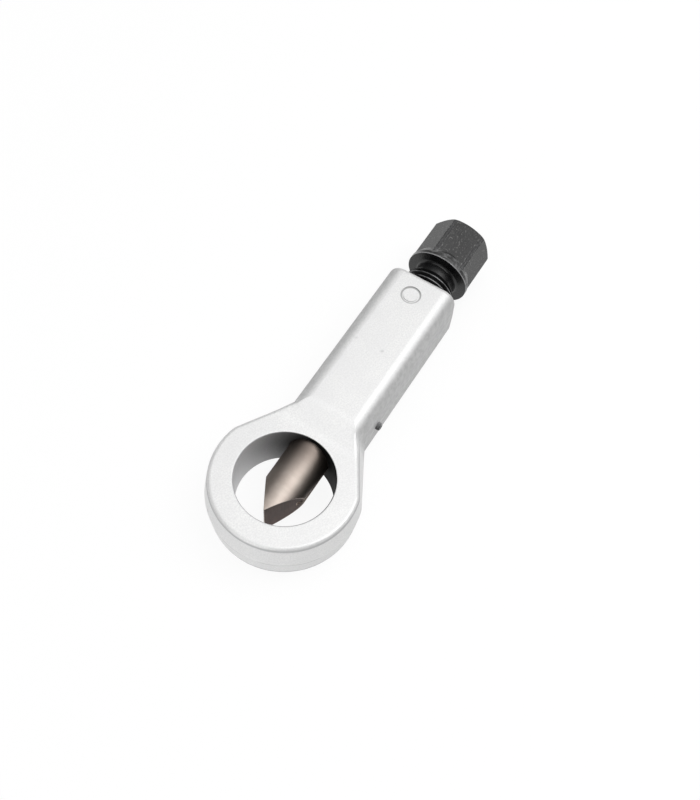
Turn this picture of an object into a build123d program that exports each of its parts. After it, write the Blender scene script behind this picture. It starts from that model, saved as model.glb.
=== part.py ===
from build123d import *
from math import cos, radians, sin, sqrt, tan
import os

# A screw-driven nut splitter. The ring goes round a seized nut, and the screw drives the chisel through the
# nut's side. Origin: centre of the ring's hole, half way through its thickness. +X runs along the barrel to the
# screw's head, +Z is square to the ring, and the guide screw is on the -Y side. All sizes are in millimetres.
# The model shows the chisel run most of the way across the ring.

# Ring round the nut
ring_hole_diameter = 35.0
ring_wall = 8.8
ring_draft_angle = 7.0
ring_edge_radius = 1.5
hole_edge_radius = 0.6

# Chisel, whose edge stands upright in the ring
chisel_diameter = 16.0
chisel_running_clearance = 0.05
edge_to_hole_wall = 4.8
edge_to_hole_wall_least = 1.2
wedge_half_angle = 30.0
wedge_edge_flat = 0.4
chisel_back_chamfer = 1.0
chisel_back_from_guide = 9.8

# Metal left above and below the chisel's bore where it enters the ring
ring_face_wall = 2.0

# Shoulders between the ring and the barrel. They are wider on the parting plane than at the faces.
shoulder_parting_angle = 72.4
shoulder_face_angle = 74.5
shoulder_parting_radius = 6.0
shoulder_face_radius = 4.0
shoulder_end_from_ring = 4.4
shoulder_face_inset = 4.3
shoulder_buried_length = 2.3

# Pressure screw's thread, and the walls that the barrel keeps round it
screw_over_chisel = 4.0
screw_pitch = 2.0
screw_bore_clearance = 0.1
barrel_side_wall = 4.0
barrel_face_wall = 2.6

# Barrel that holds the chisel and the screw
barrel_length = 69.9
barrel_corner_radius = 5.4
barrel_draft_angle = 1.5
ramp_length = 10.0
ramp_end_from_ring = 3.7
ramp_fold_radius = 10.0
tail_edge_radius = 1.8
tail_countersink = 0.6
screw_bore_start_gap = 1.0
trim_margin = 5.0

# Plain round mark on the barrel, near the tail
mark_diameter = 7.6
mark_groove_width = 1.0
mark_depth = 0.4
mark_from_tail = 9.4
mark_from_middle = 0.9

# Guide screw, whose dog point stands in the chisel's keyway
guide_from_ring = 13.2
guide_screw_diameter = 3.0
guide_screw_clearance = 0.04
guide_screw_proud = 1.4
guide_screw_chamfer = 0.3
guide_point_diameter = 2.0
guide_point_length = 2.1
guide_point_gap = 0.3
guide_socket_across_flats = 1.5
guide_socket_depth = 1.5
keyway_depth = 1.8
keyway_side_clearance = 0.1
keyway_end_clearance = 0.2

# Nose of the pressure screw, which bears on the chisel's back end
thrust_gap = 0.1
nose_flat_diameter = 6.0
nose_length = 3.0
nose_crown = 0.6
nose_clearance = 0.35
thread_plain_end = 0.3

# Neck, collar and hexagon of the pressure screw
collar_gap = 11.5
neck_length = 4.2
neck_relief = 0.6
neck_fillet_radius = 1.1
collar_thickness = 1.6
collar_slope_length = 3.2
collar_under_barrel_face = 0.1
head_flat_under_barrel_face = 1.6
head_corner_inset = 0.5
head_length = 20.7
head_turn_angle = 12.0
head_face_inset = 0.7
head_chamfer_angle = 30.0

# Proportions of a 60 degree metric thread, with its width and height as shares of the pitch
flank_angle = 30.0
crest_share = 1 / 8
screw_thread_share = 0.6134
thread_overlap = 0.1

# A face that leans less than this counts as an upper or lower face, and radii closer than this are the same
level_face_tilt = 45.0
same_size = 0.001

# Radii worked out from the sizes above
hole_radius = ring_hole_diameter / 2
ring_radius = hole_radius + ring_wall
chisel_radius = chisel_diameter / 2
bore_radius = chisel_radius + chisel_running_clearance
half_thickness = chisel_radius + ring_face_wall
screw_radius = chisel_radius + screw_over_chisel / 2
screw_core_radius = screw_radius - screw_thread_share * screw_pitch
screw_bore_radius = screw_radius + screw_bore_clearance
half_width = screw_radius + barrel_side_wall
half_height = screw_radius + barrel_face_wall
guide_radius = guide_screw_diameter / 2
guide_point_radius = guide_point_diameter / 2
head_across_flats = 2 * (half_height - head_flat_under_barrel_face)
head_corner_radius = head_across_flats / sqrt(3) - head_corner_inset

# Places along the barrel
barrel_tail_x = ring_radius + barrel_length
ramp_end_x = ring_radius + ramp_end_from_ring
guide_screw_x = ring_radius + guide_from_ring
chisel_edge_x = edge_to_hole_wall - hole_radius
chisel_back_x = guide_screw_x + chisel_back_from_guide
forward_travel = edge_to_hole_wall - edge_to_hole_wall_least
keyway_end_x = guide_screw_x + guide_point_radius + forward_travel + keyway_end_clearance
nose_x = chisel_back_x + thrust_gap
thread_start_x = nose_x + nose_length
screw_bore_start_x = thread_start_x - forward_travel - screw_bore_start_gap
collar_x = barrel_tail_x + collar_gap
neck_start_x = collar_x - neck_length
head_end_x = collar_x + head_length

os.makedirs("parts", exist_ok=True)


# Side view of the forging, which trims the ring, the shoulders and the barrel alike: thin over the ring, with a
# ramp on each face up to the barrel's thickness
ramp_start_x = ramp_end_x - ramp_length
trim_reach = ring_radius + trim_margin

with BuildPart() as thickness:
    with BuildSketch(Plane.XZ) as side_view:
        with BuildLine():
            Polyline(
                (-trim_reach, half_thickness),
                (ramp_start_x, half_thickness),
                (ramp_end_x, half_height),
                (barrel_tail_x + trim_margin, half_height),
                (barrel_tail_x + trim_margin, -half_height),
                (ramp_end_x, -half_height),
                (ramp_start_x, -half_thickness),
                (-trim_reach, -half_thickness),
                close=True,
            )
        make_face()
        ramp_folds = side_view.vertices().filter_by(lambda corner: ramp_start_x <= corner.X <= ramp_end_x)
        fillet(ramp_folds, ramp_fold_radius)
    extrude(amount=trim_reach, both=True)

# Plate: the ring and its two shoulders. Its wall leans out from each face to the parting plane, by the ring's
# draft round the ring and by more along the shoulders.
ring_draft = tan(radians(ring_draft_angle))
ring_parting_radius = ring_radius + half_thickness * ring_draft
ring_face_radius = ring_radius - (half_height - half_thickness) * ring_draft
shoulder_end_x = ring_radius + shoulder_end_from_ring


def plate_outline(height, radius, corner_angle, end_y, corner_radius):
    """The ring's round and two straight shoulders, which run on a little way inside the barrel."""
    corner_x = radius * cos(radians(corner_angle))
    corner_y = radius * sin(radians(corner_angle))
    slope = (corner_y - end_y) / (shoulder_end_x - corner_x)
    buried_x = shoulder_end_x + shoulder_buried_length
    buried_y = end_y - slope * shoulder_buried_length
    with BuildSketch(Plane.XY.offset(height)) as outline:
        with BuildLine():
            ThreePointArc((corner_x, corner_y), (-radius, 0), (corner_x, -corner_y))
            Polyline((corner_x, -corner_y), (buried_x, -buried_y), (buried_x, buried_y), (corner_x, corner_y))
        make_face()
        fillet(outline.vertices().group_by(Axis.X)[0], corner_radius)
    return outline.sketch


parting_outline = plate_outline(
    0,
    ring_parting_radius,
    shoulder_parting_angle,
    half_width,
    shoulder_parting_radius,
)
face_outline = plate_outline(
    half_height,
    ring_face_radius,
    shoulder_face_angle,
    half_width - shoulder_face_inset,
    shoulder_face_radius,
)

with BuildPart() as plate:
    loft([parting_outline, face_outline], ruled=True)
    mirror(about=Plane.XY)
    add(thickness.part, mode=Mode.INTERSECT)
    least_level = cos(radians(level_face_tilt))
    upper_and_lower_faces = plate.faces().filter_by(lambda face: abs(face.normal_at().Z) > least_level)
    fillet(upper_and_lower_faces.edges().filter_by(Axis.Y, reverse=True), ring_edge_radius)

# Barrel: a bar with drafted sides and round corners, widest at the parting plane
barrel_lean = half_height * tan(radians(barrel_draft_angle))

with BuildPart() as barrel:
    with BuildSketch(Plane.YZ.offset(ramp_start_x)) as barrel_section:
        with BuildLine():
            Polyline(
                (half_width, 0),
                (half_width - barrel_lean, half_height),
                (barrel_lean - half_width, half_height),
                (-half_width, 0),
                (barrel_lean - half_width, -half_height),
                (half_width - barrel_lean, -half_height),
                close=True,
            )
        make_face()
        fillet(barrel_section.vertices().group_by(Axis.Y)[0], barrel_corner_radius)
        fillet(barrel_section.vertices().group_by(Axis.Y)[-1], barrel_corner_radius)
    extrude(amount=barrel_tail_x - ramp_start_x)
    fillet(barrel.faces().sort_by(Axis.X)[-1].edges(), tail_edge_radius)
    add(thickness.part, mode=Mode.INTERSECT)

# Body: the plate and the barrel are one forging, with the nut's hole, the chisel's bore and the wider bore in
# which the pressure screw's thread runs
with BuildPart() as body:
    add(plate.part)
    add(barrel.part)
    with BuildSketch():
        Circle(hole_radius)
    extrude(amount=half_thickness, both=True, mode=Mode.SUBTRACT)
    round_edges = body.edges().filter_by(GeomType.CIRCLE)
    fillet(round_edges.filter_by(lambda rim: abs(rim.radius - hole_radius) < same_size), hole_edge_radius)
    with BuildSketch(Plane.YZ):
        Circle(bore_radius)
    extrude(amount=screw_bore_start_x, mode=Mode.SUBTRACT)
    with BuildSketch(Plane.YZ.offset(screw_bore_start_x)):
        Circle(screw_bore_radius)
    extrude(amount=barrel_tail_x - screw_bore_start_x, mode=Mode.SUBTRACT)
    chamfer(body.faces().sort_by(Axis.X)[-1].edges().filter_by(GeomType.CIRCLE), tail_countersink)
    with BuildSketch(Plane.XZ.offset(half_width)):
        with Locations((guide_screw_x, 0)):
            Circle(guide_radius + guide_screw_clearance)
    extrude(amount=-half_width, mode=Mode.SUBTRACT)
    with BuildSketch(Plane.XY.offset(half_height)):
        with Locations((barrel_tail_x - mark_from_tail, mark_from_middle)):
            Circle(mark_diameter / 2)
            Circle(mark_diameter / 2 - mark_groove_width, mode=Mode.SUBTRACT)
    extrude(amount=-mark_depth, mode=Mode.SUBTRACT)

body.part.label = "body"
export_step(body.part, "parts/body.step")

# Chisel: a round bar with a symmetric wedge point and an upright edge, and a keyway along its near side
wedge_length = (chisel_radius - wedge_edge_flat / 2) / tan(radians(wedge_half_angle))

with BuildPart() as chisel:
    with BuildSketch(Plane.YZ.offset(chisel_edge_x)):
        Circle(chisel_radius)
    extrude(amount=chisel_back_x - chisel_edge_x)
    chamfer(chisel.edges().sort_by(Axis.X)[-1], chisel_back_chamfer)
    with BuildSketch() as wedge_outline:
        with BuildLine():
            Polyline(
                (chisel_edge_x, wedge_edge_flat / 2),
                (chisel_edge_x + wedge_length, chisel_radius),
                (chisel_back_x, chisel_radius),
                (chisel_back_x, -chisel_radius),
                (chisel_edge_x + wedge_length, -chisel_radius),
                (chisel_edge_x, -wedge_edge_flat / 2),
                close=True,
            )
        make_face()
    extrude(amount=chisel_radius, both=True, mode=Mode.INTERSECT)
    keyway_width = guide_point_diameter + 2 * keyway_side_clearance
    keyway_straight_end_x = keyway_end_x - keyway_width / 2
    with BuildSketch(Plane.XZ.offset(chisel_radius)):
        with BuildLine():
            Polyline(
                (keyway_straight_end_x, keyway_width / 2),
                (chisel_edge_x, keyway_width / 2),
                (chisel_edge_x, -keyway_width / 2),
                (keyway_straight_end_x, -keyway_width / 2),
            )
            ThreePointArc(
                (keyway_straight_end_x, -keyway_width / 2),
                (keyway_end_x, 0),
                (keyway_straight_end_x, keyway_width / 2),
            )
        make_face()
    extrude(amount=-keyway_depth, mode=Mode.SUBTRACT)

chisel.part.label = "chisel"
export_step(chisel.part, "parts/chisel.step")

# Guide screw: a small set screw with a hexagon socket, standing a little proud of the barrel
guide_head_offset = half_width + guide_screw_proud
guide_point_offset = chisel_radius - keyway_depth + guide_point_gap
guide_shank_length = guide_head_offset - guide_point_offset - guide_point_length

with BuildPart() as guide_screw:
    with BuildSketch(Plane.XZ.offset(guide_head_offset)):
        with Locations((guide_screw_x, 0)):
            Circle(guide_radius)
    extrude(amount=-guide_shank_length)
    chamfer(guide_screw.edges().filter_by(GeomType.CIRCLE), guide_screw_chamfer)
    with BuildSketch(Plane.XZ.offset(guide_point_offset)):
        with Locations((guide_screw_x, 0)):
            Circle(guide_point_radius)
    extrude(amount=guide_point_length)
    with BuildSketch(Plane.XZ.offset(guide_head_offset)):
        with Locations((guide_screw_x, 0)):
            RegularPolygon(guide_socket_across_flats / 2, 6, major_radius=False)
    extrude(amount=-guide_socket_depth, mode=Mode.SUBTRACT)

guide_screw.part.label = "guide_screw"
export_step(guide_screw.part, "parts/guide_screw.step")

# Head: a hexagon that stands on a round collar, with rounded corners and a shallow cone at its outer end
head_start_x = collar_x + collar_thickness
head_face_radius = head_across_flats / 2 - head_face_inset
head_cone_length = (head_corner_radius - head_face_radius) * tan(radians(head_chamfer_angle))

with BuildPart() as head:
    with BuildSketch(Plane.YZ.offset(head_start_x)):
        RegularPolygon(head_across_flats / 2, 6, major_radius=False, rotation=head_turn_angle)
    extrude(amount=head_end_x - head_start_x)
    with BuildSketch():
        with BuildLine():
            Polyline(
                (head_start_x, 0),
                (head_start_x, head_corner_radius),
                (head_end_x - head_cone_length, head_corner_radius),
                (head_end_x, head_face_radius),
                (head_end_x, 0),
                close=True,
            )
        make_face()
    revolve(axis=Axis.X, mode=Mode.INTERSECT)

# Thread of the pressure screw: a ridge wound round its shank, a trapezium swept along a helix, with its foot a
# little way inside the shank. A 45 degree cone runs it out at each end.
ridge_foot_radius = screw_core_radius - thread_overlap
ridge_height = screw_radius - ridge_foot_radius
ridge_tip_width = crest_share * screw_pitch
ridge_foot_width = ridge_tip_width + 2 * ridge_height * tan(radians(flank_angle))
ridge_start_x = thread_start_x + thread_plain_end
ridge_end_x = neck_start_x - thread_plain_end
helix_start_x = ridge_start_x - screw_pitch
helix_length = ridge_end_x + screw_pitch - helix_start_x
run_out_radius = screw_radius + thread_overlap
run_out_start_radius = screw_core_radius - thread_overlap / 2
run_out_length = run_out_radius - run_out_start_radius

with BuildPart() as thread:
    with BuildLine() as helix_line:
        Helix(screw_pitch, helix_length, ridge_foot_radius, center=(helix_start_x, 0, 0), direction=(1, 0, 0))
    helix = helix_line.line
    with BuildSketch(Plane(helix @ 0, x_dir=(0, 0, 1), z_dir=helix % 0)):
        with BuildLine():
            Polyline(
                (0, -ridge_foot_width / 2),
                (ridge_height, -ridge_tip_width / 2),
                (ridge_height, ridge_tip_width / 2),
                (0, ridge_foot_width / 2),
                close=True,
            )
        make_face()
    sweep(path=helix, is_frenet=True)
    with BuildSketch():
        with BuildLine():
            Polyline(
                (ridge_start_x, 0),
                (ridge_start_x, run_out_start_radius),
                (ridge_start_x + run_out_length, run_out_radius),
                (ridge_end_x - run_out_length, run_out_radius),
                (ridge_end_x, run_out_start_radius),
                (ridge_end_x, 0),
                close=True,
            )
        make_face()
    revolve(axis=Axis.X, mode=Mode.INTERSECT)

# Pressure screw: the domed nose, the threaded shank, the neck, the collar and the head are one piece
nose_radius = chisel_radius - nose_clearance
neck_radius = screw_core_radius - neck_relief
collar_radius = half_height - collar_under_barrel_face

with BuildPart() as pressure_screw:
    with BuildSketch() as screw_profile:
        with BuildLine():
            Line((nose_x, 0), (nose_x, nose_flat_diameter / 2))
            SagittaArc((nose_x, nose_flat_diameter / 2), (thread_start_x, nose_radius), nose_crown)
            Polyline(
                (thread_start_x, nose_radius),
                (thread_start_x, screw_core_radius),
                (neck_start_x, screw_core_radius),
                (neck_start_x, neck_radius),
                (collar_x, neck_radius),
                (collar_x, collar_radius),
                (head_start_x, collar_radius),
                (head_start_x + collar_slope_length, head_across_flats / 2),
                (head_start_x + collar_slope_length, 0),
                (nose_x, 0),
            )
        make_face()
        neck_corner = screw_profile.vertices().sort_by_distance((collar_x, neck_radius, 0))[0]
        fillet(neck_corner, neck_fillet_radius)
    revolve(axis=Axis.X)
    add(thread.part)
    add(head.part)

pressure_screw.part.label = "pressure_screw"
export_step(pressure_screw.part, "parts/pressure_screw.step")
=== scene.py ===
# %% [markdown]
# # A screw-driven nut splitter
# The tool has a forged ring that goes round a seized nut, a chisel that crosses the ring, and a screw with a
# hexagon that drives the chisel. Its pieces come from a measured model, which stays as it is. This lesson dresses
# them: each gets the finish that its metal has on the real tool. Then come the floor, the light and the camera.

# %% Load the measured pieces
import functools
import math
import bpy
from mathutils import Matrix, Vector


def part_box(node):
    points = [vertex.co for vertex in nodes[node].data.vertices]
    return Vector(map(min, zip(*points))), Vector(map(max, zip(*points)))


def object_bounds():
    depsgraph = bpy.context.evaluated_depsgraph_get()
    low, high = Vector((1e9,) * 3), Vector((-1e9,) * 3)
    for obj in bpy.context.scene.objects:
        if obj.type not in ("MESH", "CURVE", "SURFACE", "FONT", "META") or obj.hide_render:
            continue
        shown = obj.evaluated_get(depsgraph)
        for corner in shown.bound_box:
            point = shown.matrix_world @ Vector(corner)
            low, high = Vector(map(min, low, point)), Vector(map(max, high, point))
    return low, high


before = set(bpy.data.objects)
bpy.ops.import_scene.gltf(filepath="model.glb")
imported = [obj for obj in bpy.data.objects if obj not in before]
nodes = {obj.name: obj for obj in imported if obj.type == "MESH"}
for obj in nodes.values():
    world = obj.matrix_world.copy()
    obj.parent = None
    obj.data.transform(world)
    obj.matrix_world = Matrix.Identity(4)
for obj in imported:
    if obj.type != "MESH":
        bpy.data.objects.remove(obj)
measured_low, measured_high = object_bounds()
MM = 0.001
size_mm = (measured_high - measured_low) / MM
print("pieces:", sorted(nodes), "size in mm:", [round(s, 1) for s in size_mm])

# %% [markdown]
# ## Helpers for the finishes
# A finish is a small network of shader nodes. It could be clicked together by hand, but written as code it can be
# read, and a size in millimetres can be worked out instead of guessed. Colours are written as sRGB hex values, as a
# paint program shows them, and the shader wants linear light, so one function turns one into the other.


# %% Turn a hex colour to linear light
def linear(hex_colour):
    """sRGB hex to linear red, green, blue, alpha: a straight part near black and a power of 2.4 above it."""
    channels = [int(hex_colour[i : i + 2], 16) / 255 for i in (1, 3, 5)]
    return tuple(c / 12.92 if c <= 0.04045 else ((c + 0.055) / 1.055) ** 2.4 for c in channels) + (1.0,)


# %% [markdown]
# One function adds any node. A node takes numbers, colours and sockets, and gives a socket that the next one takes,
# so a network reads like a sum. Three kinds come up again and again, and the settings of each have a name:
#
# - MapRange with SOFT_EDGE turns a distance into a share from 0 to 1 that starts and ends smoothly. Where its
#   To Max is another share, the result is a share of that share, so two regions can be crossed.
# - Mix with OF_COLOURS goes from one colour to another as a share goes from 0 to 1.
# - Math with TIMES, LESS, PLAIN_SIZE or LARGER multiplies, subtracts, drops a minus sign or takes the larger.
#
# An input can be named or numbered. The numbers used here are MapRange's 0 for the value, 1 and 2 for From Min and
# From Max, and 3 and 4 for To Min and To Max. Where From Min is the larger, the share falls as the value grows. Mix
# takes its share at 0, two plain numbers at 2 and 3, and two colours at 6 and 7.

# %% Add a node to a material
SOFT_EDGE = {"interpolation_type": "SMOOTHSTEP"}
OF_COLOURS = {"data_type": "RGBA", "output": 2}
TIMES = {"operation": "MULTIPLY"}
LESS = {"operation": "SUBTRACT"}
PLAIN_SIZE = {"operation": "ABSOLUTE"}
LARGER = {"operation": "MAXIMUM"}


def add_node(owner, kind, inputs=(), output=0, **settings):
    """A new node's output socket. Settings are its properties, and inputs are numbers, colours or sockets."""
    node = owner.node_tree.nodes.new("ShaderNode" + kind)
    for key, value in settings.items():
        setattr(node, key, value)
    for key, value in dict(inputs).items():
        if isinstance(value, bpy.types.NodeSocket):
            owner.node_tree.links.new(value, node.inputs[key])
        else:
            node.inputs[key].default_value = value
    return node.outputs[output] if node.outputs else None


# %% Wire a surface and dress a piece
def new_material(name):
    """An empty material, and add_node with that material filled in."""
    material = bpy.data.materials.new(name)
    material.use_nodes = True
    material.node_tree.nodes.clear()
    return material, functools.partial(add_node, material)


def dress(node_name, material):
    """Puts the material in every slot of a piece, and leaves its mesh alone."""
    mesh = nodes[node_name].data
    if not mesh.materials:
        mesh.materials.append(material)
    for slot in nodes[node_name].material_slots:
        slot.material = material
    print(node_name, "has", len(mesh.polygons), "faces and the finish", material.name)


# %% [markdown]
# ## Where a point lies
# Every finish here changes with the place: bare in a bore, worn on a corner, painted dark as shade near the chisel's
# bore. A mask could be painted by hand, but the model's sizes are known, so a mask can be worked out from them.
# Object coordinates are metres on the piece itself, so a mask stays in place when the piece moves.


# %% Coordinates in millimetres
def place_sockets(add):
    """Sockets for a point's x, y and z, its distance r from the barrel's axis, and all of its place at once."""
    at = add("VectorMath", {0: add("TexCoord", output="Object"), "Scale": 1 / MM}, operation="SCALE")
    x, y, z = (add("SeparateXYZ", {0: at}, output=axis) for axis in "XYZ")
    across = add("CombineXYZ", {"Y": y, "Z": z})
    return {"at": at, "x": x, "y": y, "z": z, "r": add("VectorMath", {0: across}, output=1, operation="LENGTH")}


# %% [markdown]
# ## The forged body
# The ring and barrel are one drop forging. It is blasted with grit, which leaves an even grain, and then sprayed
# with aluminium paint, so it is pale and nearly matt, with a soft metal sheen. The two dies met half way up, and the
# trimmed flash leaves a thin raised line round the outside. Small dents come from tumbling in a bin with others.
# The nut's hole and the bores are machined after the paint, so their walls are bare steel, painted darker where they
# lie in shade.
#
# First come the regions. The hole's wall is found by its distance from the hole's middle line, and the bores by
# their distance from the barrel's axis. The chisel's bore is narrower than the screw's, and further out than it
# there is already paint, so the edge that is compared with widens where the two bores meet.

# %% Regions of the body
HOLE_WALL_RADIUS = 17.5
PAINT_STARTS = (HOLE_WALL_RADIUS + 0.45, HOLE_WALL_RADIUS + 0.15)
PAST_THE_HOLE = (HOLE_WALL_RADIUS + 4.5, HOLE_WALL_RADIUS + 5.0)
BARREL_STARTS = (HOLE_WALL_RADIUS + 5.0, HOLE_WALL_RADIUS + 13.0)
CHISEL_BORE_EDGE = 8.4
SCREW_BORE_EDGE = 10.45
BORES_START = (15.0, 15.5)
BORES_MEET = (45.0, 47.0)
FLASH_HALF_WIDTH = 0.28


def body_regions(add, place):
    """Shares of the hole's wall, the bores, the outside, the barrel, the ring's outside and the flash."""
    in_plan = add("CombineXYZ", {"X": place["x"], "Y": place["y"]})
    plan_radius = add("VectorMath", {0: in_plan}, output=1, operation="LENGTH")
    in_hole = add("MapRange", {0: plan_radius, 1: PAINT_STARTS[0], 2: PAINT_STARTS[1]}, **SOFT_EDGE)
    outside = add("MapRange", {0: plan_radius, 1: PAST_THE_HOLE[0], 2: PAST_THE_HOLE[1]}, **SOFT_EDGE)
    barrel = add("MapRange", {0: place["x"], 1: BARREL_STARTS[0], 2: BARREL_STARTS[1]}, **SOFT_EDGE)
    ring = add("Math", {0: outside, 1: add("Math", {0: 1.0, 1: barrel}, **LESS)}, **TIMES)

    widening = {0: place["x"], 1: BORES_MEET[0], 2: BORES_MEET[1], 3: CHISEL_BORE_EDGE, 4: SCREW_BORE_EDGE}
    inside_edge = add("Math", {0: add("MapRange", widening, **SOFT_EDGE), 1: place["r"]}, **LESS)
    past_start = add("MapRange", {0: place["x"], 1: BORES_START[0], 2: BORES_START[1]}, **SOFT_EDGE)
    in_bores = add("MapRange", {0: inside_edge, 1: 0.0, 2: 0.2, 4: past_start}, **SOFT_EDGE)

    off_parting = add("Math", {0: place["z"]}, **PLAIN_SIZE)
    flash = add("MapRange", {0: off_parting, 1: FLASH_HALF_WIDTH, 2: 0.0, 4: outside}, **SOFT_EDGE)
    return {
        "hole": in_hole, "bores": in_bores, "outside": outside, "barrel": barrel, "ring": ring,
        "flash": flash, "off_parting": off_parting,
    }


# %% [markdown]
# The grain, the slow waves and the stains are noise, whose lumps are about one spacing apart, in millimetres. Grit
# leaves marks of 0.1 mm, too fine for the render to show, so the grain is drawn as coarse as it needs to be seen.
# The dents are the middles of Voronoi cells: the distance to a cell's middle is small in a dent only.

# %% Grain, waves, stains and dents
GRAIN_SPACING = 0.55
WAVE_SPACING = 9.0
STAIN_SPACING = 14.0
DENT_SPACING = 15.0
DENT_RADIUS_SHARE = 0.07
LUMPY = {"Roughness": 0.55}


def forging_patterns(add, place):
    """Noise for grain, waves and stains, and a share that is 0 in a dent and 1 outside."""
    at = place["at"]
    to_dent = add("TexVoronoi", {"Vector": at, "Scale": 1 / DENT_SPACING}, output="Distance")
    return {
        "grain": add("TexNoise", {"Vector": at, "Scale": 1 / GRAIN_SPACING, "Detail": 3.0, **LUMPY}),
        "waves": add("TexNoise", {"Vector": at, "Scale": 1 / WAVE_SPACING, "Detail": 2.0, **LUMPY}),
        "stains": add("TexNoise", {"Vector": at, "Scale": 1 / STAIN_SPACING, "Detail": 4.0, **LUMPY}),
        "dents": add("MapRange", {0: to_dent, 1: 0.0, 2: DENT_RADIUS_SHARE}, **SOFT_EDGE),
    }


# %% [markdown]
# The paint's colour is built up in layers, each laid over the last where its share says so: stained paint, darker in
# the grain's hollows, darker dents, the flash painted pale as a highlight, and painted shade in the groove of the
# round mark. The barrel's sides get a darker, mottled grey, which is painted shade. On the ring and its shoulders
# a thin grey line of painted shade lies just below each rim, and patches of painted shade lie under the flash.

# %% Layers of paint, painted highlight and painted shade
PAINT_PALE, PAINT_STAINED, PAINT_HOLLOW = linear("#F8F8F7"), linear("#F2F2F2"), linear("#E8E8E8")
DENT_GREY, FLASH_HIGHLIGHT, SIDE_FLASH_HIGHLIGHT = linear("#CCCCCD"), linear("#FAFAF9"), linear("#F4F4F4")
GROOVE_SHADE_GREY, SHADED_SIDE_DARK, SHADED_SIDE_PALE = linear("#B8B8B8"), linear("#C0C0C0"), linear("#CDCDCD")
MARK_MIDDLE = (86.8, 0.9, 12.6)
GROOVE_INNER_EDGE = (3.1, 3.4)
GROOVE_OUTER_EDGE = (4.0, 3.7)
SIDE_SHADE = (9.5, 13.0)
MOTTLE_SPACING = 1.8
SIDE_FLASH_SHARE = 0.6


def paint_on_faces(add, place, regions, patterns):
    """Grained, stained paint with dents, the flash painted pale as a highlight and painted shade in the mark's
    groove.
    """
    stained_share = add("MapRange", {0: patterns["stains"], 1: 0.35, 2: 0.70}, **SOFT_EDGE)
    stained = add("Mix", {0: stained_share, 6: PAINT_PALE, 7: PAINT_STAINED}, **OF_COLOURS)
    on_grain = add("MapRange", {0: patterns["grain"], 1: 0.30, 2: 0.75}, **SOFT_EDGE)
    grained = add("Mix", {0: on_grain, 6: PAINT_HOLLOW, 7: stained}, **OF_COLOURS)
    dented = add("Mix", {0: patterns["dents"], 6: DENT_GREY, 7: grained}, **OF_COLOURS)
    # Painted highlight: the raised flash line is painted paler than the paint round it.
    with_flash_highlight = add("Mix", {0: regions["flash"], 6: dented, 7: FLASH_HIGHLIGHT}, **OF_COLOURS)

    # Painted shade: the groove of the round mark is painted grey.
    from_mark = add("VectorMath", {0: place["at"], 1: MARK_MIDDLE}, output=1, operation="DISTANCE")
    in_mark = add("MapRange", {0: from_mark, 1: GROOVE_OUTER_EDGE[0], 2: GROOVE_OUTER_EDGE[1]}, **SOFT_EDGE)
    groove_edge = {0: from_mark, 1: GROOVE_INNER_EDGE[0], 2: GROOVE_INNER_EDGE[1], 4: in_mark}
    in_groove = add("MapRange", groove_edge, **SOFT_EDGE)
    return add("Mix", {0: in_groove, 6: with_flash_highlight, 7: GROOVE_SHADE_GREY}, **OF_COLOURS)


def shade_on_sides(add, place, regions, full_coat):
    """The full coat, with mottled painted shade on the barrel's sides and a paler flash, a painted highlight, across
    it.
    """
    mottle = add("TexNoise", {"Vector": place["at"], "Scale": 1 / MOTTLE_SPACING, "Detail": 5.0, **LUMPY})
    mottle_share = add("MapRange", {0: mottle, 1: 0.35, 2: 0.65}, **SOFT_EDGE)
    # Painted shade: the barrel's sides are painted a darker, mottled grey.
    shaded_side = add("Mix", {0: mottle_share, 6: SHADED_SIDE_DARK, 7: SHADED_SIDE_PALE}, **OF_COLOURS)
    off_middle = add("Math", {0: place["y"]}, **PLAIN_SIZE)
    on_side = {0: off_middle, 1: SIDE_SHADE[0], 2: SIDE_SHADE[1], 4: regions["barrel"]}
    side_shade_share = add("MapRange", on_side, **SOFT_EDGE)
    side_shaded = add("Mix", {0: side_shade_share, 6: full_coat, 7: shaded_side}, **OF_COLOURS)
    # Painted highlight: the flash across the barrel's sides is painted paler.
    side_flash_highlight = add("Math", {0: regions["flash"], 1: SIDE_FLASH_SHARE}, **TIMES)
    return add("Mix", {0: side_flash_highlight, 6: side_shaded, 7: SIDE_FLASH_HIGHLIGHT}, **OF_COLOURS)


# %% Painted shade below the rims and under the flash
RIM_SHADE_GREY, UNDER_FLASH_SHADE = linear("#BEBEBF"), linear("#C4C4C4")
RIM_HEIGHT = 8.75
RIM_HALF_WIDTH = 1.0
UNDER_FLASH_HEIGHT = -0.7
UNDER_FLASH_HALF_WIDTH = 0.5
LINE_CORE = 0.1


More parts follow.
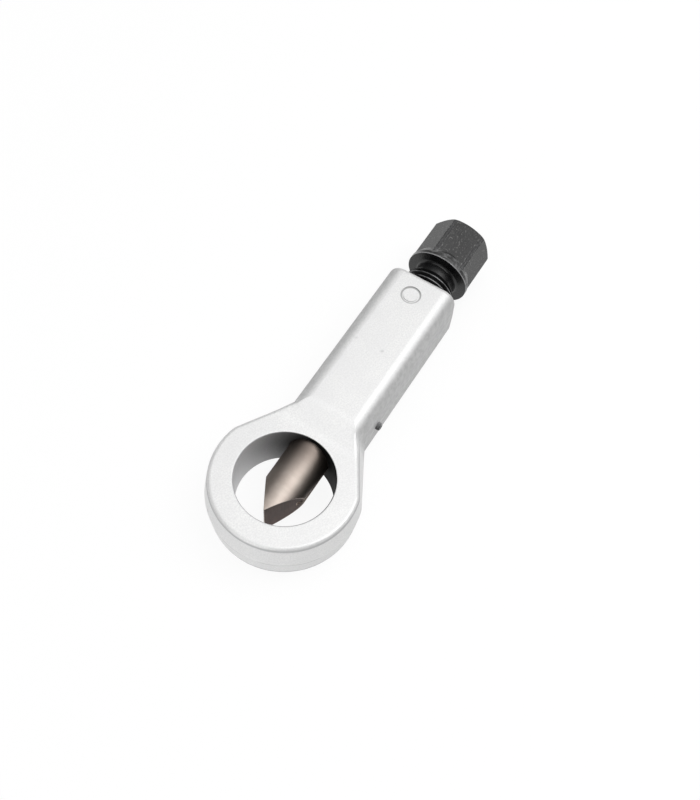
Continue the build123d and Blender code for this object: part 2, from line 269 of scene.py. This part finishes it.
def shaded_rims(add, place, regions, patterns, coat):
    """The coat, with painted shade as a thin grey line below both rims of the ring, and patches of it under the
    flash.
    """
    # Painted shade: a thin grey line just below each rim of the ring.
    from_rim = add("Math", {0: regions["off_parting"], 1: RIM_HEIGHT}, **LESS)
    off_rim = add("Math", {0: from_rim}, **PLAIN_SIZE)
    on_rim = add("MapRange", {0: off_rim, 1: RIM_HALF_WIDTH, 2: LINE_CORE, 4: regions["ring"]}, **SOFT_EDGE)
    rim_shaded = add("Mix", {0: on_rim, 6: coat, 7: RIM_SHADE_GREY}, **OF_COLOURS)
    # Painted shade: patches of grey just under the flash line.
    from_under_flash = add("Math", {0: place["z"], 1: UNDER_FLASH_HEIGHT}, **LESS)
    off_under_flash = add("Math", {0: from_under_flash}, **PLAIN_SIZE)
    patchy = add("MapRange", {0: patterns["stains"], 1: 0.40, 2: 0.60, 4: regions["outside"]}, **SOFT_EDGE)
    in_under_flash_shade = add("MapRange", {0: off_under_flash, 1: UNDER_FLASH_HALF_WIDTH, 2: LINE_CORE, 4: patchy}, **SOFT_EDGE)
    return add("Mix", {0: in_under_flash_shade, 6: rim_shaded, 7: UNDER_FLASH_SHADE}, **OF_COLOURS)


# %% [markdown]
# The hole's wall is bare steel with painted shade: black near the chisel's bore, where the hole lies deepest in
# shade, and paler further away, so the bare steel's colour is found by its distance from the bore's mouth. The grain
# makes the edge of the painted shade uneven.

# %% Bare steel and painted shade in the hole and the bores
SHADED_WALL_BLACK, UNSHADED_STEEL, BORE_STEEL_AND_SHADE = linear("#1A1A1A"), linear("#EAEAEB"), linear("#454240")
WALL_SHADE_START = (14.0, -9.0, 0.0)
WALL_SHADE_FADES = (13.0, 39.0)
SHADE_EDGE_UNEVEN = 2.0


def bare_and_shaded_in_bores(add, place, regions, patterns, coat):
    """The coat outside, bare steel with painted shade near the bore on the hole's wall, and steel painted dark in
    the bores.
    """
    # Painted shade: the hole's wall is painted black near the chisel's bore and paler further away.
    from_shade_start = add("VectorMath", {0: place["at"], 1: WALL_SHADE_START}, output=1, operation="DISTANCE")
    uneven_distance = add("Math", {0: patterns["grain"], 1: SHADE_EDGE_UNEVEN, 2: from_shade_start}, operation="MULTIPLY_ADD")
    less_shaded = add("MapRange", {0: uneven_distance, 1: WALL_SHADE_FADES[0], 2: WALL_SHADE_FADES[1]}, **SOFT_EDGE)
    wall = add("Mix", {0: less_shaded, 6: SHADED_WALL_BLACK, 7: UNSHADED_STEEL}, **OF_COLOURS)
    with_hole = add("Mix", {0: regions["hole"], 6: coat, 7: wall}, **OF_COLOURS)
    # Painted shade: the bores' bare steel is painted dark for the shade deep inside them.
    return add("Mix", {0: regions["bores"], 6: with_hole, 7: BORE_STEEL_AND_SHADE}, **OF_COLOURS)


# %% [markdown]
# The grain could be sculpted, but it is far finer than any mesh, so it is a bump. A bump node tilts the light on the
# surface by a height. Four are chained, from the slowest waves to the finest grain, and each takes the normal that
# the last one gives. The paint is part flakes of metal and part clear binder, so its metallic value is a half. Bare
# steel is wholly metal, and rougher, because it is bored and not polished.

# %% Aluminium paint on blasted forged steel
FORGING_BUMPS = (("waves", 0.35, 0.25), ("dents", 0.60, 0.15), ("flash", 0.60, 0.12), ("grain", 0.50, 0.05))
PAINT_ROUGH = (0.44, 0.62)
BARE_ROUGH = 0.8
PAINT_METALLIC = 0.5


def aluminium_paint():
    """Pale and near matt, with blasted grain, slow waves, a few dents and the dies' parting line."""
    material, add = new_material("aluminium_paint_on_blasted_forging")
    place = place_sockets(add)
    regions = body_regions(add, place)
    patterns = forging_patterns(add, place)
    faces = paint_on_faces(add, place, regions, patterns)
    coat = shaded_rims(add, place, regions, patterns, shade_on_sides(add, place, regions, faces))
    colour = bare_and_shaded_in_bores(add, place, regions, patterns, coat)

    heights = {**patterns, "flash": regions["flash"]}
    normal = {}
    for name, strength, depth in FORGING_BUMPS:
        bump = {"Height": heights[name], "Strength": strength, "Distance": depth * MM, **normal}
        normal = {"Normal": add("Bump", bump)}

    bare = add("Math", {0: regions["hole"], 1: regions["bores"]}, **LARGER)
    painted = add("MapRange", {0: patterns["grain"], 3: PAINT_ROUGH[0], 4: PAINT_ROUGH[1]})
    rough = add("Mix", {0: bare, 2: painted, 3: BARE_ROUGH})
    metallic = add("MapRange", {0: bare, 3: PAINT_METALLIC, 4: 1.0})
    surface = {"Base Color": colour, "Roughness": rough, "Metallic": metallic, **normal}
    add("OutputMaterial", {"Surface": add("BsdfPrincipled", surface)})
    return material


dress("body", aluminium_paint())

# %% [markdown]
# ## The chisel
# A chisel of this kind is a round bar of tool steel, hardened, tempered to a brown tint and then ground. The
# grinding wheel leaves fine rings round the bar and strokes across the two flanks of the wedge. The flanks are
# darker than the bar, and the corner where they meet it is worn bright. The flanks are found by their own planes, so
# no second piece or painted mask is needed. Near the bore, the bar is painted darker, as painted shade from the
# ring.

# %% Where the chisel's flanks are
chisel_low, chisel_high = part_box("chisel")
EDGE_X = chisel_low.x / MM
BAR_RADIUS = chisel_high.z / MM
FLANK_SLOPE = math.tan(math.radians(30.0))
HALF_EDGE_FLAT = 0.2
FLANK_START = HALF_EDGE_FLAT - EDGE_X * FLANK_SLOPE
CORNER_SKIN = (BAR_RADIUS - 0.35, BAR_RADIUS - 0.12)


def flank_shares(add, place):
    """Shares of the two flanks, and of the worn corner round them: a flank's half width grows with x."""
    half_width = add("Math", {0: place["x"], 1: FLANK_SLOPE, 2: FLANK_START}, operation="MULTIPLY_ADD")
    sideways = add("Math", {0: place["y"]}, **PLAIN_SIZE)
    off_flank = add("Math", {0: half_width, 1: sideways}, **LESS)
    on_flank = add("MapRange", {0: off_flank, 1: 0.08, 2: 0.02}, **SOFT_EDGE)
    on_skin = add("MapRange", {0: place["r"], 1: CORNER_SKIN[0], 2: CORNER_SKIN[1]}, **SOFT_EDGE)
    return on_flank, add("MapRange", {0: off_flank, 1: 0.30, 2: 0.06, 4: on_skin}, **SOFT_EDGE)


# %% Ground and tempered tool steel
BAR_DARK, BAR_PALE, BAR_SHADED = linear("#AA9F97"), linear("#B2A8A0"), linear("#7D736C")
FLANK_DARK, FLANK_PALE, CORNER_BRIGHT = linear("#36251F"), linear("#453129"), linear("#A39991")
RING_SPACING = 0.5
STROKE_SPACING = 0.35
CLOUD_SPACING = 5.0
SHADED_BAR = (1.0, 16.0)
STEEL_ROUGH = (0.36, 0.52)


def tempered_steel():
    """Brown-tinted ground steel: rings round the bar, strokes on the flanks, bright along their corner."""
    material, add = new_material("ground_and_tempered_tool_steel")
    place = place_sockets(add)
    on_flank, on_corner = flank_shares(add, place)

    round_the_bar = add("Mapping", {"Vector": place["at"], "Scale": (1.0, 0.08, 0.08)})
    across_the_flank = add("Mapping", {"Vector": place["at"], "Scale": (1.0, 1.0, 0.05)})
    rings = add("TexNoise", {"Vector": round_the_bar, "Scale": 1 / RING_SPACING, "Detail": 3.0, **LUMPY})
    strokes = add("TexNoise", {"Vector": across_the_flank, "Scale": 1 / STROKE_SPACING, "Detail": 3.0, **LUMPY})
    marks = add("Mix", {0: on_flank, 2: rings, 3: strokes})
    clouds = add("TexNoise", {"Vector": place["at"], "Scale": 1 / CLOUD_SPACING, "Detail": 3.0, **LUMPY})

    cloudy = add("MapRange", {0: clouds, 1: 0.30, 2: 0.70}, **SOFT_EDGE)
    clean_bar = add("Mix", {0: cloudy, 6: BAR_DARK, 7: BAR_PALE}, **OF_COLOURS)
    # Painted shade: the bar is painted darker towards the bore, where the ring shades it.
    near_bore = add("MapRange", {0: place["x"], 1: SHADED_BAR[0], 2: SHADED_BAR[1]}, **SOFT_EDGE)
    bar = add("Mix", {0: near_bore, 6: clean_bar, 7: BAR_SHADED}, **OF_COLOURS)
    flank = add("Mix", {0: cloudy, 6: FLANK_DARK, 7: FLANK_PALE}, **OF_COLOURS)
    tinted = add("Mix", {0: on_flank, 6: bar, 7: flank}, **OF_COLOURS)
    colour = add("Mix", {0: on_corner, 6: tinted, 7: CORNER_BRIGHT}, **OF_COLOURS)

    rough = add("MapRange", {0: marks, 3: STEEL_ROUGH[0], 4: STEEL_ROUGH[1]})
    normal = add("Bump", {"Height": marks, "Strength": 0.25, "Distance": 0.03 * MM})
    surface = {"Base Color": colour, "Roughness": rough, "Normal": normal, "Metallic": 1.0}
    add("OutputMaterial", {"Surface": add("BsdfPrincipled", surface)})
    return material


dress("chisel", tempered_steel())

# %% [markdown]
# ## The pressure screw
# The screw is turned from a hexagon bar and blackened in a hot salt bath. Black oxide is a thin skin that reflects
# as a dark stone does, not as bare metal: deep black seen straight on, and grey where it is seen at a slant. So the
# skin is not metallic, and the shader's own reflection makes the slanted faces paler.
#
# The skin wears thin along the hexagon's corners, on the collar's rim and on the thread's crests, and the steel
# under it shows. Each of those is found by its distance from the screw's axis. The middle of a corner is found by
# its angle round that axis: PINGPONG folds the angle, so that all six corners read 0.

# %% Where the screw is worn
HEXAGON_CORNER_RADIUS = 12.2
CREST_RADIUS = 10.0
COLLAR_RADIUS = 12.5
COLLAR_X = 107.7
HEAD_START_X = 109.3
FIRST_CORNER = math.radians(12.0)
HALF_FACET = math.radians(30.0)


def worn_corners(add, place, specks, corner_radius):
    """A speckled share along the hexagon's trimmed corners, a little more in the middle of each."""
    angle = add("Math", {0: place["z"], 1: place["y"]}, operation="ARCTAN2")
    from_first = add("Math", {0: angle, 1: FIRST_CORNER}, **LESS)
    folded = add("Math", {0: from_first, 1: HALF_FACET}, operation="PINGPONG")
    off_corner = add("Math", {0: folded, 1: place["r"]}, **TIMES)
    thin_skin = add("MapRange", {0: specks, 1: 0.35, 2: 0.65, 3: 0.12, 4: 0.26}, **SOFT_EDGE)
    in_middle = add("MapRange", {0: off_corner, 1: 0.50, 2: 0.15, 4: 0.10}, **SOFT_EDGE)
    thinner_skin = add("Math", {0: in_middle, 1: thin_skin}, operation="ADD")
    in_head = {0: place["x"], 1: HEAD_START_X + 0.6, 2: HEAD_START_X + 0.9, 4: thinner_skin}
    far_out = {0: place["r"], 1: corner_radius - 0.10, 2: corner_radius - 0.03}
    return add("MapRange", {**far_out, 4: add("MapRange", in_head, **SOFT_EDGE)}, **SOFT_EDGE)


def worn_turning(add, place, clouds):
    """Patchy shares of the thread's crests and of the collar's rim, where it meets the collar's underside."""
    patchy = add("MapRange", {0: clouds, 1: 0.30, 2: 0.60}, **SOFT_EDGE)
    before_collar = {0: place["x"], 1: COLLAR_X - 0.3, 2: COLLAR_X - 0.5, 4: patchy}
    crest = {0: place["r"], 1: CREST_RADIUS - 0.10, 2: CREST_RADIUS - 0.02}
    on_crest = add("MapRange", {**crest, 4: add("MapRange", before_collar, **SOFT_EDGE)}, **SOFT_EDGE)
    at_underside = {0: place["x"], 1: COLLAR_X + 0.50, 2: COLLAR_X + 0.20, 4: patchy}
    rim = {0: place["r"], 1: COLLAR_RADIUS - 0.20, 2: COLLAR_RADIUS - 0.05}
    on_rim = add("MapRange", {**rim, 4: add("MapRange", at_underside, **SOFT_EDGE)}, **SOFT_EDGE)
    return on_crest, on_rim


# %% [markdown]
# The turned neck, thread and collar are deep black, partly their skin and partly painted shade. The hexagon keeps
# the bar's coarser skin, which is greyer and full of fine specks. The slope from the collar to the hexagon was
# brushed here and there by spanners and sockets.

# %% Skin of the bar, of the turning and of the slope
BAR_SKIN_DARK, BAR_SKIN_PALE, SPECK_GREY = linear("#1E1E1E"), linear("#282828"), linear("#6E6D6C")
TURNED_SHADE_DARK, TURNED_SHADE_PALE, BRUSHED_GREY = linear("#0E0E0F"), linear("#1C1C1D"), linear("#7C7C7D")
BRUSH_SPACING = 2.5
OFF_THE_FLATS = (11.3, 11.6)


def oxide_skin(add, place, specks, clouds):
    """Speckled skin on the head, deep black with painted shade on what is turned, brushed patches on the slope."""
    cloudy = add("MapRange", {0: clouds, 1: 0.35, 2: 0.65}, **SOFT_EDGE)
    bar_skin = add("Mix", {0: cloudy, 6: BAR_SKIN_DARK, 7: BAR_SKIN_PALE}, **OF_COLOURS)
    on_speck = add("MapRange", {0: specks, 1: 0.57, 2: 0.70}, **SOFT_EDGE)
    specked = add("Mix", {0: on_speck, 6: bar_skin, 7: SPECK_GREY}, **OF_COLOURS)

    brush_noise = add("TexNoise", {"Vector": place["at"], "Scale": 1 / BRUSH_SPACING, "Detail": 3.0, **LUMPY})
    brush_share = add("MapRange", {0: brush_noise, 1: 0.48, 2: 0.62, 3: 0.10, 4: 0.65}, **SOFT_EDGE)
    below_flats = {0: place["x"], 1: HEAD_START_X + 2.6, 2: HEAD_START_X + 2.2, 4: brush_share}
    off_flats = {0: place["r"], 1: OFF_THE_FLATS[0], 2: OFF_THE_FLATS[1]}
    brushed = add("MapRange", {**off_flats, 4: add("MapRange", below_flats, **SOFT_EDGE)}, **SOFT_EDGE)
    head = add("Mix", {0: brushed, 6: specked, 7: BRUSHED_GREY}, **OF_COLOURS)

    # Painted shade: the turned neck, thread and collar are painted deeper black than the hexagon's skin.
    turned_share = add("MapRange", {0: specks, 1: 0.40, 2: 0.70}, **SOFT_EDGE)
    turned = add("Mix", {0: turned_share, 6: TURNED_SHADE_DARK, 7: TURNED_SHADE_PALE}, **OF_COLOURS)
    past_underside = add("MapRange", {0: place["x"], 1: COLLAR_X + 0.15, 2: COLLAR_X + 0.45}, **SOFT_EDGE)
    return add("Mix", {0: past_underside, 6: turned, 7: head}, **OF_COLOURS)


# %% Black oxide on turned steel
WORN_GREY, RIM_WORN_GREY = linear("#8E8E8F"), linear("#939394")
SPECK_SPACING = 0.7
OXIDE_CLOUD_SPACING = 6.0
SCRATCH_SPACING = 0.4
OXIDE_ROUGH = (0.22, 0.34)
OXIDE_SPECULAR = 0.42


def black_oxide(name, corner_radius):
    """Dark skin with specks, worn to grey steel where the surface lies further out than the corner radius."""
    material, add = new_material(name)
    place = place_sockets(add)
    at = place["at"]
    specks = add("TexNoise", {"Vector": at, "Scale": 1 / SPECK_SPACING, "Detail": 4.0, **LUMPY})
    clouds = add("TexNoise", {"Vector": at, "Scale": 1 / OXIDE_CLOUD_SPACING, "Detail": 3.0, **LUMPY})
    along_the_screw = add("Mapping", {"Vector": at, "Scale": (0.12, 1.0, 1.0)})
    scratches = add("TexNoise", {"Vector": along_the_screw, "Scale": 1 / SCRATCH_SPACING, "Detail": 2.0, **LUMPY})

    on_crest, on_rim = worn_turning(add, place, clouds)
    on_corner = worn_corners(add, place, specks, corner_radius)
    turned_wear = add("Math", {0: on_rim, 1: on_crest}, **LARGER)
    wear = add("Math", {0: on_corner, 1: turned_wear}, **LARGER)
    skin = oxide_skin(add, place, specks, clouds)
    worn = add("Mix", {0: wear, 6: skin, 7: WORN_GREY}, **OF_COLOURS)
    colour = add("Mix", {0: on_rim, 6: worn, 7: RIM_WORN_GREY}, **OF_COLOURS)

    rough = add("MapRange", {0: scratches, 3: OXIDE_ROUGH[0], 4: OXIDE_ROUGH[1]})
    normal = add("Bump", {"Height": specks, "Strength": 0.35, "Distance": 0.03 * MM})
    surface = {"Base Color": colour, "Roughness": rough, "Normal": normal, "Metallic": 0.0}
    shader = add("BsdfPrincipled", {**surface, "Specular IOR Level": OXIDE_SPECULAR})
    add("OutputMaterial", {"Surface": shader})
    return material


dress("pressure_screw", black_oxide("black_oxide_on_turned_steel", HEXAGON_CORNER_RADIUS))

# %% [markdown]
# ## The guide screw
# The small set screw in the barrel's side has the same black skin. It is never gripped outside its socket, so
# nothing on it is worn: its corner radius is set further out than any part of it.

# %% Black oxide on the set screw
BEYOND_THE_PART = 100.0
dress("guide_screw", black_oxide("black_oxide_on_set_screw", BEYOND_THE_PART))

# %% [markdown]
# ## The floor
# The tool lies on a plain white sheet. Its underside is flat, so the sheet touches it there. To the camera and to
# shiny metal the sheet is plain white, and the share of its real shading that is kept holds the tool's soft shadow.
# The glow is a little over 1, so that glow and kept shading together come to 1 where no shadow falls.

# %% White sheet under the tool
PAPER_GREY = linear("#A8A8A8")
FLOOR_HALF_SIZE = 3.0
KEPT_SHADING = 0.25
SHEET_GLOW = 1.21
SEEN_RAYS = ("Is Camera Ray", "Is Glossy Ray", "Is Transmission Ray")


def white_paper():
    """Lit matt white, and plain white to the eye, to shiny metal and through glass."""
    material, add = new_material("matt_white_paper")
    camera_ray, glossy_ray, transmission_ray = (add("LightPath", output=ray) for ray in SEEN_RAYS)
    seen = add("Math", {0: camera_ray, 1: glossy_ray}, **LARGER)
    seen = add("Math", {0: seen, 1: transmission_ray}, **LARGER)
    glow_share = add("Math", {0: seen, 1: 1 - KEPT_SHADING}, **TIMES)
    matt = add("BsdfPrincipled", {"Base Color": PAPER_GREY, "Roughness": 0.9})
    glow = add("Emission", {"Color": (1, 1, 1, 1), "Strength": SHEET_GLOW})
    add("OutputMaterial", {"Surface": add("MixShader", {0: glow_share, 1: matt, 2: glow})})
    return material


def white_sheet(floor_z):
    """A large square at the tool's lowest point."""
    corners = [(-1, -1), (1, -1), (1, 1), (-1, 1)]
    points = [(x * FLOOR_HALF_SIZE, y * FLOOR_HALF_SIZE, floor_z) for x, y in corners]
    mesh = bpy.data.meshes.new("white_sheet")
    mesh.from_pydata(points, [], [(0, 1, 2, 3)])
    mesh.materials.append(white_paper())
    sheet = bpy.data.objects.new("white_sheet", mesh)
    bpy.context.scene.collection.objects.link(sheet)
    return sheet


floor = white_sheet(measured_low.z)
print("floor at", round(measured_low.z / MM, 2), "mm")

# %% [markdown]
# ## The light
# The tool stands in a studio with a white sweep behind the floor, dim walls above it and a wide bright roof. A face
# that looks up is bright, and an edge that leans towards a wall turns darker. That band of tone is what shows the
# eye a rounded edge. The world is that room: its brightness in a direction depends on how high the direction points,
# from 0 at the horizon to 1 straight up.

# %% The room
SWEEP_STRENGTH = 0.95
SWEEP_FADES = (0.10, 0.02)
WALL_STRENGTH = 0.18
ROOF_STRENGTH = 1.14
ROOF_STARTS = (0.62, 0.84)


def studio_room():
    """A world whose strength falls from the sweep at the horizon to the wall, and rises again to the roof."""
    world = bpy.data.worlds.new("studio_room")
    world.use_nodes = True
    world.node_tree.nodes.clear()
    add = functools.partial(add_node, world)
    height = add("SeparateXYZ", {0: add("TexCoord", output="Generated")}, output="Z")
    roof_range = {0: height, 1: ROOF_STARTS[0], 2: ROOF_STARTS[1], 3: WALL_STRENGTH, 4: ROOF_STRENGTH}
    sweep_range = {0: height, 1: SWEEP_FADES[0], 2: SWEEP_FADES[1], 4: SWEEP_STRENGTH - WALL_STRENGTH}
    with_roof = add("MapRange", roof_range, **SOFT_EDGE)
    sweep = add("MapRange", sweep_range, **SOFT_EDGE)
    strength = add("Math", {0: sweep, 1: with_roof}, operation="ADD")
    background = add("Background", {"Color": (1, 1, 1, 1), "Strength": strength})
    add("OutputWorld", {"Surface": background})
    bpy.context.scene.world = world
    print("room: sweep", SWEEP_STRENGTH, "walls", WALL_STRENGTH, "roof", ROOF_STRENGTH)


studio_room()

# %% [markdown]
# A lamp above and one behind, on the guide screw's side, add the soft line of light along that side. A low lamp in
# front fills the ring's outer wall. The lamps are hidden from the camera, so that no view shows them.


# %% The lamps
def soft_lamp(name, place, size, power):
    """A square lamp at a place in metres, turned to face the middle of the tool."""
    lamp = bpy.data.lights.new(name, "AREA")
    lamp.shape = "SQUARE"
    lamp.size = size
    lamp.energy = power
    holder = bpy.data.objects.new(name, lamp)
    holder.location = place
    middle = (measured_low + measured_high) / 2
    holder.rotation_euler = (middle - Vector(place)).to_track_quat("-Z", "Y").to_euler()
    holder.visible_camera = False
    bpy.context.scene.collection.objects.link(holder)
    print(name, "is", size, "m wide and gives", power, "W")


soft_lamp("lamp_above", (0.34, -0.30, 0.86), 0.7, 2.75)
soft_lamp("lamp_behind", (0.43, -0.57, 0.60), 0.45, 0.65)
soft_lamp("lamp_front", (-0.95, 0.10, 0.12), 0.5, 2.8)

# %% [markdown]
# ## The camera
# The tool is seen from the ring's end, high above the floor, with the camera a little rolled, so that the barrel
# runs up and to the right. A camera is set by where it stands and by three angles: the azimuth and elevation of its
# line of sight, and its roll round that line. Blender's camera looks along its own -Z with +Y up.

# %% Camera at the photograph's angle
CAMERA_PLACE_MM = (-152.392, -95.626, 385.296)
SIGHT_AZIMUTH = 26.0
SIGHT_ELEVATION = 60.56
CAMERA_ROLL = 6.2
LENS_MM = 55.13
SENSOR_MM = 36.0


def aimed_camera():
    """A camera from its place, line of sight and roll: across is level and square to the sight, then rolled."""
    azimuth, elevation = math.radians(SIGHT_AZIMUTH), math.radians(SIGHT_ELEVATION)
    level = Vector((math.cos(azimuth), math.sin(azimuth), 0.0))
    sight = level * math.cos(elevation) - Vector((0.0, 0.0, math.sin(elevation)))
    across = Vector((math.sin(azimuth), -math.cos(azimuth), 0.0))
    across.rotate(Matrix.Rotation(-math.radians(CAMERA_ROLL), 3, sight))
    up = across.cross(sight)
    turn = Matrix((across, up, -sight)).transposed()
    data = bpy.data.cameras.new("camera")
    data.sensor_fit = "VERTICAL"
    data.sensor_height = SENSOR_MM
    data.lens = LENS_MM
    camera = bpy.data.objects.new("camera", data)
    camera.matrix_world = Matrix.Translation(Vector(CAMERA_PLACE_MM) * MM) @ turn.to_4x4()
    bpy.context.scene.collection.objects.link(camera)
    bpy.context.scene.camera = camera
    print("across", [round(v, 4) for v in across], "up", [round(v, 4) for v in up])


aimed_camera()
bpy.context.scene.view_settings.view_transform = "Standard"
